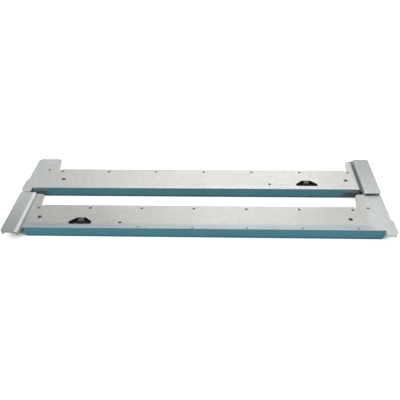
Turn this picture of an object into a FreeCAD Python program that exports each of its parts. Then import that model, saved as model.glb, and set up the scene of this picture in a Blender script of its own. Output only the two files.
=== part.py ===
import FreeCAD, Part
import Sketcher
import math
import os

# Pair of telescoping server rack rails, lying side by side with their webs up.
# Each rail is a folded steel housing with an ear at both ends. A three-member
# ball slide hangs under the web and runs out past the front ear.
#
# Right-hand rail: front end towards -X. Left-hand rail: its mirror image.
# A rail's own frame has y = 0 half-way across the ears and z = 0 at the plane
# that the rims of the housing stand on.

DIMENSIONS = {
    # housing
    "rail_length": 760.0,        # ear to ear
    "front_setback": 39.5,       # front ear's outer face to the channel's end
    "rear_setback": 18.5,
    "ear_height": 132.5,         # a three-unit panel
    "front_ear_shift": -3.0,     # ear's middle from the rack holes' middle
    "rear_ear_shift": 2.0,
    "ear_overhang": 18.0,        # ear past the web's near edge
    "web_width": 75.0,
    "web_level": 22.0,           # outer face of the web above the rims
    "gauge": 1.5,                # housing sheet
    "bend_radius": 2.4,
    "far_wall_setback": 21.0,    # relief notch behind the front end
    "far_wall_rear_setback": 46.0,
    "relief_width": 5.0,
    "relief_depth": 4.0,
    "rim_corner": 9.0,
    "joggle_rise": 4.5,          # front ear above the web
    "joggle_run": 3.0,
    "joggle_inset": 4.0,         # channel's end to the joggle
    "tab_slope": 8.0,
    "rear_tab_slope": 6.0,
    "rear_tab_width": 59.5,
    "tab_corner": 9.0,
    "ear_corner": 10.0,
    "small_corner": 6.0,
    "flange_foot": 11.4,         # lower edge of the rack flanges
    "lip_reach": 4.5,
    "lip_width": 46.0,
    "pair_gap": 3.0,              # between the two rails' ears
    # holes of the web
    "row_first": 14.0,           # first hole behind the channel's front end
    "row_last": 50.2,            # last hole ahead of its rear end
    "row_inset": 11.5,           # from the far edge
    "row_radius": 1.6,
    "edge_hole_inset": 3.6,
    "edge_hole_radius": 1.1,
    "access_radius": 3.2,
    "access_line": 33.0,         # from the near edge
    "access_front": 24.0,
    "access_rear": 60.0,
    "access_slot": 4.0,
    "gauge_hole_radius": 1.8,
    "ear_hole_radius": 1.8,
    # rack interface
    "rack_hole_radius": 3.4,
    "rack_hole_pitch": 88.9,
    "rack_pin_pitch": 31.75,
    "rack_hole_drop": 4.6,       # above the flange's lower edge
    "rack_pin_radius": 2.6,
    "rack_pin_reach": 2.5,
    # ball slide
    "slide_line": 34.5,          # centre-line from the web's near edge
    "slide_width": 45.0,
    "slide_gauge": 1.6,
    "slide_top": 11.8,
    "slide_front": 4.0,          # behind the channel's front end
    "outer_length": 664.0,
    "middle_length": 624.0,
    "stop_gap": 0.3,             # member's end to its rubber stop
    "ball_radius": 1.8,
    "race_play": 0.3,            # between ball and race
    "race_half_gap": 1.5,        # wall to the balls' line
    "ball_level": 5.2,
    "back_gap": 0.3,
    "wall_foot": 1.9,
    "plate_foot": 0.8,
    "cage_gauge": 0.9,
    "cage_length": 220.0,
    "cage_start": 204.0,         # behind the slide's front end
    "cage_foot": 2.5,
    "cage_top": 7.7,
    "ball_pitch": 54.0,
    "spacer_radius": 6.0,
    "spacer_pitch": 190.0,
    "spacer_first": 48.0,
    "screw_radius": 2.0,
    "screw_fit": 0.05,
    "screw_head_radius": 3.4,
    "screw_depth": 4.5,
    "bumper_depth": 7.0,
    "bumper_half_width": 9.0,
    "inner_bumper_half_width": 13.0,
    "bumper_height": 5.0,
    "chassis_hole_radius": 2.6,
    "chassis_hole_inset": 34.0,
    "chassis_hole_pitch": 190.0,
    "keyhole_radius": 4.0,
    # housing latch
    "latch_line": 17.5,
    "window_start": 87.0,
    "window_base": 45.0,
    "window_top": 18.0,
    "window_side": 8.5,
    "window_height": 20.5,
    "window_corner": 1.8,
    "window_near": 11.5,
    "pivot_station": 176.0,
    "pivot_level": 15.6,
    "pivot_radius": 1.3,
    "pivot_fit": 0.06,
    "boss_radius": 2.5,
    "arm_gauge": 1.2,
    "arm_width": 8.0,
    "arm_front": 79.0,           # pad end from the pivot
    "arm_rear": 42.0,
    "pad_front": 73.5,
    "pad_rear": 59.5,
    "pad_rise": 0.6,             # pad above the web's face
    "pad_offset": 3.5,           # pad's near side from the arm's middle
    "pad_width": 8.0,
    "tooth_width": 5.0,
    "tooth_length": 5.0,
    "tooth_reach": 1.2,          # into the slide's back
    "bracket_gauge": 1.4,
    "bracket_half_length": 15.0,
    "bracket_half_width": 12.5,
    "cheek_half_length": 5.0,
    "cheek_gap": 0.4,
    "rivet_radius": 1.4,
    "rivet_head_radius": 2.3,
    "rivet_head": 0.6,
    "rivet_offset": 9.0,
    "leaf_length": 34.0,
    "leaf_gauge": 0.4,
    "leaf_width": 5.0,
    "leaf_station": 44.0,        # leaf's middle ahead of the pivot
    # release lever of the chassis member
    "lever_station": 345.0,      # pivot behind the slide's front end
    "lever_gauge": 1.4,
    "lever_gap": 0.3,
    "lever_radius": 4.5,
    "lever_reach": 44.0,
    "lever_tail": 26.0,
    "lever_arm_width": 5.0,
    "lever_pad_width": 13.0,
    "lever_pad_length": 18.0,
    "lever_hook": 3.0,
    "lever_pin_radius": 1.6,
    "lever_pin_fit": 0.06,
    "lever_head_radius": 3.2,
    "lever_head": 0.8,
}

ROW_HOLES = 7
EDGE_HOLES = 5
SPACERS = 4
BALLS_PER_STRIP = 4
CHASSIS_HOLES = 4


class Size:
    """A length that keeps both its value and the spreadsheet formula for it."""

    def __init__(self, value, text=None):
        self.value = float(value)
        self.text = text if text is not None else repr(float(value))

    def __add__(self, other):
        other = as_size(other)
        return Size(self.value + other.value, f"({self.text} + {other.text})")

    def __sub__(self, other):
        other = as_size(other)
        return Size(self.value - other.value, f"({self.text} - {other.text})")

    def __mul__(self, factor):
        return Size(self.value * factor, f"({self.text} * {float(factor)!r})")

    def __truediv__(self, divisor):
        return Size(self.value / divisor, f"({self.text} / {float(divisor)!r})")

    def __neg__(self):
        return Size(-self.value, f"(-1 * {self.text})")

    __radd__ = __add__
    __rmul__ = __mul__


def as_size(number):
    return number if isinstance(number, Size) else Size(number)


def make_sheet(doc):
    """Write the driving dimensions and return each as a Size named by its alias."""
    sheet = doc.addObject("Spreadsheet::Sheet", "Dims")
    sizes = {}
    for row, (alias, value) in enumerate(DIMENSIONS.items(), start=1):
        sheet.set(f"A{row}", alias)
        sheet.set(f"B{row}", str(value))
        sheet.setAlias(f"B{row}", alias)
        sizes[alias] = Size(value, f"Dims.{alias}")
    doc.recompute()
    return sizes


doc = FreeCAD.newDocument("ServerRails")
D = make_sheet(doc)
ZERO = Size(0.0, "0")

# Housing lines, in a rail's own frame.
FRONT_FACE = -D["rail_length"] / 2
REAR_FACE = D["rail_length"] / 2
FRONT_END = FRONT_FACE + D["front_setback"]
REAR_END = REAR_FACE - D["rear_setback"]
FRONT_NEAR = D["front_ear_shift"] - D["ear_height"] / 2
FRONT_FAR = D["front_ear_shift"] + D["ear_height"] / 2
REAR_NEAR = D["rear_ear_shift"] - D["ear_height"] / 2
REAR_FAR = D["rear_ear_shift"] + D["ear_height"] / 2
NEAR_EDGE = D["ear_overhang"] - D["ear_height"] / 2
FAR_EDGE = NEAR_EDGE + D["web_width"]
PAIR_PITCH = D["ear_height"] + D["pair_gap"]
WEB_TOP = D["web_level"]
WEB_UNDER = WEB_TOP - D["gauge"]
EAR_TOP = WEB_TOP + D["joggle_rise"]
JOGGLE_START = FRONT_END - D["joggle_inset"]
JOGGLE_END = JOGGLE_START - D["joggle_run"]
WALL_FRONT = FRONT_END + D["far_wall_setback"]
WALL_REAR = REAR_END - D["far_wall_rear_setback"]

# Slide lines. Half widths are counted from the slide's centre-line.
SLIDE_LINE = NEAR_EDGE + D["slide_line"]
SLIDE_FRONT = FRONT_END + D["slide_front"]
OUTER_FACE = D["slide_width"] / 2
OUTER_INSIDE = OUTER_FACE - D["slide_gauge"]
OUTER_BALLS = OUTER_INSIDE - D["race_half_gap"]
MIDDLE_FACE = OUTER_BALLS - D["race_half_gap"]
MIDDLE_INSIDE = MIDDLE_FACE - D["slide_gauge"]
INNER_BALLS = MIDDLE_INSIDE - D["race_half_gap"]
INNER_FACE = INNER_BALLS - D["race_half_gap"]
INNER_INSIDE = INNER_FACE - D["slide_gauge"]
OUTER_UNDER = D["slide_top"] - D["slide_gauge"]
MIDDLE_TOP = OUTER_UNDER - D["back_gap"]
MIDDLE_UNDER = MIDDLE_TOP - D["slide_gauge"]
INNER_TOP = MIDDLE_UNDER - D["back_gap"]
PLATE_TOP = D["plate_foot"] + D["slide_gauge"]
RACE_RADIUS = D["ball_radius"] + D["race_play"]
CAGE_START = SLIDE_FRONT + D["cage_start"]

# Latch lines.
LATCH_LINE = NEAR_EDGE + D["latch_line"]
PIVOT_X = FRONT_END + D["pivot_station"]
ARM_TOP = D["pivot_level"] + D["arm_gauge"] / 2
ARM_UNDER = D["pivot_level"] - D["arm_gauge"] / 2
TOOTH_X = PIVOT_X + D["arm_rear"] - D["tooth_length"] / 2

# Release lever lines.
LEVER_X = SLIDE_FRONT + D["lever_station"]
LEVER_UNDER = PLATE_TOP + D["lever_gap"]
LEVER_TOP = LEVER_UNDER + D["lever_gauge"]


def plane_of(body, role):
    for feature in body.Origin.OriginFeatures:
        if feature.Role == role:
            return feature
    raise ValueError(role)


# Each plane: how its sketch's normal points along the axis it is offset by.
NORMAL_SIGN = {"XY_Plane": 1, "XZ_Plane": -1, "YZ_Plane": 1}


def new_sketch(body, name, role, offset):
    """A sketch on an origin plane of the body, moved by offset along its axis."""
    sketch = body.newObject("Sketcher::SketchObject", name)
    sketch.AttachmentSupport = (plane_of(body, role), [""])
    sketch.MapMode = "FlatFace"
    shift = offset if NORMAL_SIGN[role] > 0 else -offset
    sketch.setExpression("AttachmentOffset.Base.z", shift.text)
    return sketch


def pin_point(sketch, geometry, vertex, across, up):
    """Tie one sketch point to the sheet in both directions."""
    for kind, size in (("DistanceX", across), ("DistanceY", up)):
        index = sketch.addConstraint(Sketcher.Constraint(kind, -1, 1, geometry, vertex, size.value))
        sketch.setExpression(f"Constraints[{index}]", size.text)


def corner_arc(before, corner, after, radius):
    """Where a rounded corner starts and ends, and its middle."""
    here = FreeCAD.Vector(corner[0].value, corner[1].value, 0)
    inward = (here - FreeCAD.Vector(before[0].value, before[1].value, 0)).normalize()
    outward = (FreeCAD.Vector(after[0].value, after[1].value, 0) - here).normalize()
    turn = inward.getAngle(outward)
    reach = math.tan(turn / 2)
    start = (corner[0] - radius * (reach * inward.x), corner[1] - radius * (reach * inward.y))
    end = (corner[0] + radius * (reach * outward.x), corner[1] + radius * (reach * outward.y))
    towards_corner = (inward - outward).normalize()
    depth = radius.value * (1 / math.cos(turn / 2) - 1)
    return start, end, here - towards_corner * depth


def draw_outline(sketch, corners):
    """Closed outline. A corner is (across, up) or, where it is rounded, (across, up, radius)."""
    count = len(corners)
    stations = []
    for i, corner in enumerate(corners):
        if len(corner) == 2:
            stations.append((corner, corner, None, None))
            continue
        start, end, middle = corner_arc(corners[i - 1], corner, corners[(i + 1) % count], corner[2])
        stations.append((start, end, middle, corner[2]))
    segments = []
    for i, (start, end, middle, radius) in enumerate(stations):
        following = stations[(i + 1) % count][0]
        if radius is not None:
            segments.append((sketch.addGeometry(Part.Arc(flat(start), middle, flat(end))), start, end))
            size = sketch.addConstraint(Sketcher.Constraint("Radius", segments[-1][0], radius.value))
            sketch.setExpression(f"Constraints[{size}]", radius.text)
        line = Part.LineSegment(flat(end), flat(following))
        segments.append((sketch.addGeometry(line), end, following))
    for (index, start, end), (next_index, next_start, _) in zip(segments, segments[1:] + segments[:1]):
        tail = vertex_at(sketch, index, end)
        head = vertex_at(sketch, next_index, next_start)
        sketch.addConstraint(Sketcher.Constraint("Coincident", index, tail, next_index, head))
    for index, start, _ in segments:
        pin_point(sketch, index, vertex_at(sketch, index, start), *start)


def vertex_at(sketch, index, point):
    """Number of the segment's end that lies at the point."""
    gaps = [(sketch.getPoint(index, vertex) - flat(point)).Length for vertex in (1, 2)]
    return 1 if gaps[0] < gaps[1] else 2


def flat(point):
    return FreeCAD.Vector(point[0].value, point[1].value, 0)


def draw_circles(sketch, centres, radius):
    for across, up in centres:
        centre = FreeCAD.Vector(across.value, up.value, 0)
        index = sketch.addGeometry(Part.Circle(centre, FreeCAD.Vector(0, 0, 1), radius.value))
        pin_point(sketch, index, 3, across, up)
        size = sketch.addConstraint(Sketcher.Constraint("Radius", index, radius.value))
        sketch.setExpression(f"Constraints[{size}]", radius.text)


def extrude(body, kind, sketch, name, length):
    feature = body.newObject(f"PartDesign::{kind}", name)
    feature.Profile = sketch
    feature.setExpression("Length", length.text)
    # A pad grows and a pocket cuts towards the positive axis.
    grows_along_normal = kind == "Pad"
    feature.Reversed = (NORMAL_SIGN[plane_role(sketch)] > 0) != grows_along_normal
    sketch.Visibility = False
    return feature


def plane_role(sketch):
    return sketch.AttachmentSupport[0][0].Role


def box_points(low, high):
    (x_low, y_low), (x_high, y_high) = low, high
    return [(x_low, y_low), (x_high, y_low), (x_high, y_high), (x_low, y_high)]


def pad_outline(body, name, role, offset, length, *outlines):
    sketch = new_sketch(body, name + "Sketch", role, offset)
    for outline in outlines:
        draw_outline(sketch, outline)
    return extrude(body, "Pad", sketch, name, length)


def cut_outline(body, name, role, offset, length, *outlines):
    sketch = new_sketch(body, name + "Sketch", role, offset)
    for outline in outlines:
        draw_outline(sketch, outline)
    return extrude(body, "Pocket", sketch, name, length)


def pad_circles(body, name, role, offset, length, centres, radius):
    sketch = new_sketch(body, name + "Sketch", role, offset)
    draw_circles(sketch, centres, radius)
    return extrude(body, "Pad", sketch, name, length)


def cut_circles(body, name, role, offset, length, centres, radius):
    sketch = new_sketch(body, name + "Sketch", role, offset)
    draw_circles(sketch, centres, radius)
    return extrude(body, "Pocket", sketch, name, length)


def round_edges(body, name, base, radius, *places):
    """Round the straight edges of base that pass through the given places."""
    doc.recompute()
    names = []
    for place in places:
        point = Part.Vertex(*[as_size(value).value for value in place])
        gaps = [edge.distToShape(point)[0] for edge in base.Shape.Edges]
        names.append(f"Edge{gaps.index(min(gaps)) + 1}")
    fillet = body.newObject("PartDesign::Fillet", name)
    fillet.Base = (base, names)
    fillet.setExpression("Radius", radius.text)
    return fillet


def new_body(label):
    body = doc.addObject("PartDesign::Body", label)
    body.Label = label
    return body


def across_slide(half_width):
    """The two lines that lie half_width to each side of the slide's centre-line."""
    return SLIDE_LINE - half_width, SLIDE_LINE + half_width


# --------------------------------------------------------------------- housing

def channel_section():
    """Web and both walls, seen along the rail."""
    gauge = D["gauge"]
    outside = D["bend_radius"]
    inside = outside - gauge
    return [
        (NEAR_EDGE, ZERO), (NEAR_EDGE + gauge, ZERO),
        (NEAR_EDGE + gauge, WEB_UNDER, inside), (FAR_EDGE - gauge, WEB_UNDER, inside),
        (FAR_EDGE - gauge, ZERO), (FAR_EDGE, ZERO),
        (FAR_EDGE, WEB_TOP, outside), (NEAR_EDGE, WEB_TOP, outside),
    ]


def web_outline():
    """Flat sheet of the web with the level parts of both ears."""
    notch_near = FAR_EDGE - D["relief_depth"]
    bend_line = NEAR_EDGE + D["bend_radius"]
    rear_line = REAR_FACE - D["bend_radius"]
    tab_front = WALL_FRONT - D["tab_slope"]
    tab_rear = REAR_FACE - D["rear_tab_width"] + D["rear_tab_slope"]
    notch_front = WALL_FRONT - D["relief_width"]
    notch_rear = WALL_REAR + D["relief_width"]
    corner = D["tab_corner"]
    return [
        (JOGGLE_START, FRONT_NEAR),
        (FRONT_END, NEAR_EDGE),
        (FRONT_END, bend_line),
        (REAR_END, bend_line),
        (REAR_END, REAR_NEAR, D["small_corner"]),
        (rear_line, REAR_NEAR),
        (rear_line, REAR_FAR),
        (tab_rear, REAR_FAR, corner),
        (notch_rear, FAR_EDGE),
        (notch_rear, notch_near),
        (notch_front, notch_near),
        (notch_front, FAR_EDGE),
        (tab_front, FRONT_FAR, corner),
        (JOGGLE_START, FRONT_FAR),
    ]


def front_ear_section():
    """Front ear seen from the side: riser, raised plate and rack flange."""
    gauge = D["gauge"]
    outside = D["bend_radius"]
    inside = outside - gauge
    return [
        (JOGGLE_START, WEB_UNDER),
        (JOGGLE_START, WEB_TOP),
        (JOGGLE_END, EAR_TOP, gauge),
        (FRONT_FACE, EAR_TOP, outside),
        (FRONT_FACE, D["flange_foot"]),
        (FRONT_FACE + gauge, D["flange_foot"]),
        (FRONT_FACE + gauge, EAR_TOP - gauge, inside),
        (JOGGLE_END - gauge / 2, EAR_TOP - gauge),
        (JOGGLE_START - gauge / 2, WEB_UNDER),
    ]


def rear_ear_section():
    """Outer edge of the rear ear, folded down into its rack flange."""
    gauge = D["gauge"]
    outside = D["bend_radius"]
    inside = outside - gauge
    start = REAR_FACE - outside - D["small_corner"]
    return [
        (start, WEB_TOP), (start, WEB_UNDER), (REAR_FACE - gauge, WEB_UNDER, inside),
        (REAR_FACE - gauge, D["flange_foot"]), (REAR_FACE, D["flange_foot"]),
        (REAR_FACE, WEB_TOP, outside),
    ]


def ear_corner_waste(face, edge, inwards, upwards, radius):
    """What is trimmed off a square ear corner to round it in plan."""
    margin = D["gauge"]
    across = face + radius * inwards + margin * inwards
    along = edge + radius * upwards + margin * upwards
    outer_face = face - margin * inwards
    outer_edge = edge - margin * upwards
    return [(outer_face, outer_edge), (across, outer_edge), (across, edge),
            (face, edge, radius), (face, along), (outer_face, along)]


def make_housing(label):
    body = new_body(label)
    gauge = D["gauge"]
    pad_outline(body, "Channel", "YZ_Plane", FRONT_END, REAR_END - FRONT_END, channel_section())
    far_start = FAR_EDGE - D["relief_depth"]
    beyond = FAR_EDGE + gauge
    cut_outline(body, "FarWallEnds", "XY_Plane", ZERO, WEB_TOP + gauge,
                box_points((FRONT_END - gauge, far_start), (WALL_FRONT, beyond)),
                box_points((WALL_REAR, far_start), (REAR_END + gauge, beyond)))
    pad_outline(body, "Web", "XY_Plane", WEB_UNDER, gauge, web_outline())
    pad_outline(body, "FrontEar", "XZ_Plane", FRONT_NEAR, D["ear_height"], front_ear_section())
    pad_outline(body, "RearEar", "XZ_Plane", REAR_NEAR, D["ear_height"], rear_ear_section())
    cut_flange_ends(body)
    corner = D["ear_corner"]
    small = D["small_corner"]
    waste = [ear_corner_waste(FRONT_FACE, FRONT_NEAR, 1, 1, corner),
             ear_corner_waste(FRONT_FACE, FRONT_FAR, 1, -1, small),
             ear_corner_waste(REAR_FACE, REAR_NEAR, -1, 1, small),
             ear_corner_waste(REAR_FACE, REAR_FAR, -1, -1, corner)]
    cut_outline(body, "EarCorners", "XY_Plane", D["flange_foot"] - gauge,
                EAR_TOP + gauge * 2 - D["flange_foot"], *waste)
    lip_near = REAR_NEAR + small
    lip_reach = D["lip_reach"]
    last = pad_outline(body, "RearLip", "XY_Plane", WEB_UNDER - gauge, gauge,
                       [(REAR_FACE - gauge, lip_near),
                        (REAR_FACE + lip_reach, lip_near + lip_reach, lip_reach),
                        (REAR_FACE + lip_reach, lip_near + D["lip_width"] - lip_reach, lip_reach),
                        (REAR_FACE - gauge, lip_near + D["lip_width"])])
    round_edges(body, "RimCorners", last, D["rim_corner"],
                (FRONT_END, NEAR_EDGE + gauge / 2, 0), (REAR_END, NEAR_EDGE + gauge / 2, 0),
                (WALL_FRONT, FAR_EDGE - gauge / 2, 0), (WALL_REAR, FAR_EDGE - gauge / 2, 0))
    cut_web_holes(body)
    cut_latch_window(body)
    cut_rack_holes(body)
    return body


def cut_flange_ends(body):
    """The rack flanges stop short of the ears' rounded corners."""
    gauge = D["gauge"]
    corner = D["ear_corner"]
    small = D["small_corner"]
    below = D["flange_foot"] - gauge
    ends = (
        ("FrontFlange", FRONT_FACE - gauge, EAR_TOP - gauge, FRONT_NEAR + corner, FRONT_FAR - small),
        ("RearFlange", REAR_FACE - gauge * 2, WEB_UNDER, REAR_NEAR + small, REAR_FAR - corner),
    )
    for name, start, top, near, far in ends:
        cut_outline(body, name + "Ends", "XY_Plane", below, top - below,
                    box_points((start, near - corner * 2), (start + gauge * 3, near)),
                    box_points((start, far), (start + gauge * 3, far + corner * 2)))


def row_positions():
    first = FRONT_END + D["row_first"]
    pitch = (REAR_END - D["row_last"] - first) / (ROW_HOLES - 1)
    return [first + pitch * i for i in range(ROW_HOLES)]


def cut_web_holes(body):
    through = D["gauge"] * 3
    below = WEB_UNDER - D["gauge"]
    row_y = FAR_EDGE - D["row_inset"]
    stations = row_positions()
    cut_circles(body, "HoleRow", "XY_Plane", below, through,
                [(x, row_y) for x in stations], D["row_radius"])
    edge_y = NEAR_EDGE + D["edge_hole_inset"]
    cut_circles(body, "EdgeHoles", "XY_Plane", below, through,
                [(x, edge_y) for x in stations[-EDGE_HOLES:]], D["edge_hole_radius"])
    access_y = NEAR_EDGE + D["access_line"]
    front_x = FRONT_END + D["access_front"]
    rear_x = REAR_END - D["access_rear"]
    cut_circles(body, "FrontAccess", "XY_Plane", below, through,
                [(front_x, access_y)], D["access_radius"])
    slot = D["access_slot"]
    narrow = D["access_radius"] * 0.8
    cut_outline(body, "RearAccess", "XY_Plane", below, through,
                [(rear_x - slot, access_y - narrow / 2), (rear_x - slot / 2, access_y - narrow),
                 (rear_x + slot, access_y - narrow / 2), (rear_x + slot, access_y + narrow / 2),
                 (rear_x + slot / 2, access_y + narrow), (rear_x - slot, access_y + narrow / 2)])
    gauge_x = PIVOT_X + D["bracket_half_length"] - 2
    cut_circles(body, "GaugeHole", "XY_Plane", below, through,
                [(gauge_x, LATCH_LINE)], D["gauge_hole_radius"])
    ear_y = FAR_EDGE - D["row_inset"] / 2
    cut_circles(body, "EarHole", "XY_Plane", below, through,
                [(REAR_END - D["rear_setback"], ear_y)], D["ear_hole_radius"])
    rivets = latch_rivet_centres()
    cut_circles(body, "RivetHoles", "XY_Plane", below, through, rivets,
                D["rivet_radius"] + D["screw_fit"])


def cut_latch_window(body):
    """Opening over the latch pad: flat near side and a narrower far side."""
    start = FRONT_END + D["window_start"]
    middle = start + D["window_base"] / 2
    near = NEAR_EDGE + D["window_near"]
    far = near + D["window_height"]
    shoulder = near + D["window_side"]
    half = D["window_base"] / 2
    top = D["window_top"] / 2
    corner = D["window_corner"]
    cut_outline(body, "LatchWindow", "XY_Plane", WEB_UNDER - D["gauge"], D["gauge"] * 3,
                [(middle - half, near, corner), (middle + half, near, corner),
                 (middle + half, shoulder, corner), (middle + top, far, corner),
                 (middle - top, far, corner), (middle - half, shoulder, corner)])


def rack_hole_level():
    return D["flange_foot"] + D["rack_hole_drop"]


def cut_rack_holes(body):
    pair = [(D["rack_hole_pitch"] / 2, rack_hole_level()), (-D["rack_hole_pitch"] / 2, rack_hole_level())]
    pins = [(D["rack_pin_pitch"] / 2, rack_hole_level()), (-D["rack_pin_pitch"] / 2, rack_hole_level())]
    for name, start in (("Front", FRONT_FACE - 1), ("Rear", REAR_FACE - D["gauge"] * 2)):
        depth = D["gauge"] * 2 + 1
        cut_circles(body, name + "RackHoles", "YZ_Plane", start, depth, pair, D["rack_hole_radius"])
        cut_circles(body, name + "PinHoles", "YZ_Plane", start, depth, pins,
                    D["rack_pin_radius"] - D["gauge"] / 2)


def make_rack_pins(label, face, outwards):
    """Two shouldered pins that stand out of a rack flange and find the rack's holes."""
    body = new_body(label)
    level = rack_hole_level()
    centres = [(D["rack_pin_pitch"] / 2, level), (-D["rack_pin_pitch"] / 2, level)]
    shank = D["rack_pin_radius"] - D["gauge"] / 2 - D["screw_fit"]
    if outwards < 0:
        pad_circles(body, "Heads", "YZ_Plane", face - D["rack_pin_reach"], D["rack_pin_reach"],
                    centres, D["rack_pin_radius"])
        pad_circles(body, "Shanks", "YZ_Plane", face, D["gauge"], centres, shank)
    else:
        pad_circles(body, "Shanks", "YZ_Plane", face - D["gauge"], D["gauge"], centres, shank)
        pad_circles(body, "Heads", "YZ_Plane", face, D["rack_pin_reach"], centres, D["rack_pin_radius"])
    return body


# ------------------------------------------------------------------ ball slide

def channel_outline(half_width, top, foot):
    """Downward C section of a slide member, drawn across the rail."""
    gauge = D["slide_gauge"]
    left, right = across_slide(half_width)
    return [
        (left, foot), (left + gauge, foot), (left + gauge, top - gauge),
        (right - gauge, top - gauge), (right - gauge, foot), (right, foot),
        (right, top), (left, top),
    ]


def plate_outline(half_width, top, foot):
    """Upward U section of the chassis member."""
    gauge = D["slide_gauge"]
    left, right = across_slide(half_width)
    return [
        (left, foot), (right, foot), (right, top), (right - gauge, top),
        (right - gauge, foot + gauge), (left + gauge, foot + gauge), (left + gauge, top), (left, top),
    ]


def cut_races(body, name, start, length, *ball_lines):
    """Round ball races along the member, concentric with the balls."""
    centres = []
    for line in ball_lines:
        centres += [(y, D["ball_level"]) for y in across_slide(line)]
    return cut_circles(body, name, "YZ_Plane", start, length, centres, RACE_RADIUS)


def spacer_positions():
    return [SLIDE_FRONT + D["spacer_first"] + D["spacer_pitch"] * i for i in range(SPACERS)]


def make_slide_outer(label):
    body = new_body(label)
    length = D["outer_length"]
    pad_outline(body, "Section", "YZ_Plane", SLIDE_FRONT, length,
                channel_outline(OUTER_FACE, D["slide_top"], D["wall_foot"]))
    last = cut_races(body, "Races", SLIDE_FRONT - 1, length + 2, OUTER_BALLS)
    left, right = across_slide(OUTER_FACE)
    middle = SLIDE_FRONT + length / 2
    round_edges(body, "Shoulders", last, D["slide_gauge"] / 2,
                (middle, left, D["slide_top"]), (middle, right, D["slide_top"]))
    centres = [(x, SLIDE_LINE) for x in spacer_positions()]
    cut_circles(body, "ScrewHoles", "XY_Plane", OUTER_UNDER - 1, D["slide_gauge"] + 2, centres,
                D["screw_radius"] + D["screw_fit"])
    cut_circles(body, "ScrewSeats", "XY_Plane", OUTER_UNDER - 1, D["slide_gauge"] / 2 + 1, centres,
                D["screw_head_radius"] + D["screw_fit"])
    half_window = D["tooth_length"]
    cut_outline(body, "LatchWindow", "XY_Plane", OUTER_UNDER - 1, D["slide_gauge"] + 2,
                box_points((TOOTH_X - half_window, LATCH_LINE - D["tooth_width"] * 0.7),
                           (TOOTH_X + half_window, LATCH_LINE + D["tooth_width"])))
    return body


def make_slide_middle(label):
    body = new_body(label)
    length = D["middle_length"]
    pad_outline(body, "Section", "YZ_Plane", SLIDE_FRONT, length,
                channel_outline(MIDDLE_FACE, MIDDLE_TOP, D["wall_foot"]))
    last = cut_races(body, "Races", SLIDE_FRONT - 1, length + 2, OUTER_BALLS, INNER_BALLS)
    left, right = across_slide(MIDDLE_FACE)
    middle = SLIDE_FRONT + length / 2
    round_edges(body, "Shoulders", last, D["slide_gauge"] / 2,
                (middle, left, MIDDLE_TOP), (middle, right, MIDDLE_TOP))
    windows = [SLIDE_FRONT + length * share for share in (0.2, 0.5, 0.8)]
    half_length = D["bumper_half_width"] * 3
    half_width = D["bumper_half_width"] / 2
    cut_outline(body, "Lightening", "XY_Plane", MIDDLE_UNDER - 1, D["slide_gauge"] + 2,
                *[box_points((x - half_length, SLIDE_LINE - half_width),
                             (x + half_length, SLIDE_LINE + half_width)) for x in windows])
    return body


def chassis_hole_positions():
    return [SLIDE_FRONT + D["chassis_hole_inset"] + D["chassis_hole_pitch"] * i
            for i in range(CHASSIS_HOLES)]


def make_slide_inner(label):
    body = new_body(label)
    length = D["middle_length"] - D["bumper_depth"] - D["stop_gap"]
    pad_outline(body, "Section", "YZ_Plane", SLIDE_FRONT, length,
                plate_outline(INNER_FACE, INNER_TOP, D["plate_foot"]))
    cut_races(body, "Races", SLIDE_FRONT - 1, length + 2, INNER_BALLS)
    below = D["plate_foot"] - 1
    through = D["slide_gauge"] + 2
    cut_circles(body, "ChassisHoles", "XY_Plane", below, through,
                [(x, SLIDE_LINE) for x in chassis_hole_positions()], D["chassis_hole_radius"])
    keyholes = [x + D["chassis_hole_pitch"] / 4 for x in chassis_hole_positions()[:3]]
    cut_circles(body, "Keyholes", "XY_Plane", below, through,
                [(x, SLIDE_LINE) for x in keyholes], D["keyhole_radius"])
    half = D["chassis_hole_radius"]
    cut_outline(body, "KeyholeSlots", "XY_Plane", below, through,
                *[box_points((x, SLIDE_LINE - half), (x + D["keyhole_radius"] * 3, SLIDE_LINE + half))
                  for x in keyholes])
    cut_circles(body, "LeverHole", "XY_Plane", below, through, [(LEVER_X, SLIDE_LINE)],
                D["lever_pin_radius"] + D["screw_fit"])
    return body


def ball_positions():
    half_run = D["ball_pitch"] * (BALLS_PER_STRIP - 1) / 2
    first = CAGE_START + D["cage_length"] / 2 - half_run
    return [first + D["ball_pitch"] * i for i in range(BALLS_PER_STRIP)]


def make_cages(label, ball_line):
    """Two punched strips, one each side, that keep the balls apart."""
    body = new_body(label)
    half = D["cage_gauge"] / 2
    for side, y in zip(("Near", "Far"), across_slide(ball_line)):
        pad_outline(body, side + "Strip", "XZ_Plane", y - half, D["cage_gauge"],
                    box_points((CAGE_START, D["cage_foot"]),
                               (CAGE_START + D["cage_length"], D["cage_top"])))
        cut_circles(body, side + "Pockets", "XZ_Plane", y - half - D["race_play"],
                    D["cage_gauge"] + D["race_play"] * 2,
                    [(x, D["ball_level"]) for x in ball_positions()], RACE_RADIUS)
    return body


def make_balls(label, ball_line):
    balls = []
    for y in across_slide(ball_line):
        for x in ball_positions():
            ball = doc.addObject("Part::Sphere", "Ball")
            ball.setExpression("Radius", D["ball_radius"].text)
            place(ball, x, y, D["ball_level"])
            balls.append(ball)
    group = doc.addObject("Part::Compound", label)
    group.Label = label
    group.Links = balls
    return group


def place(item, x, y, z):
    for axis, size in zip("xyz", (x, y, z)):
        item.setExpression(f"Placement.Base.{axis}", size.text)


def make_spacers(label):
    """Round spacers between the web and the back of the slide."""
    body = new_body(label)
    centres = [(x, SLIDE_LINE) for x in spacer_positions()]
    pad_circles(body, "Posts", "XY_Plane", D["slide_top"], WEB_UNDER - D["slide_top"], centres,
                D["spacer_radius"])
    cut_circles(body, "Bores", "XY_Plane", D["slide_top"] - 1, D["screw_depth"] + 1, centres,
                D["screw_radius"] + D["screw_fit"])
    return body


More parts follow.
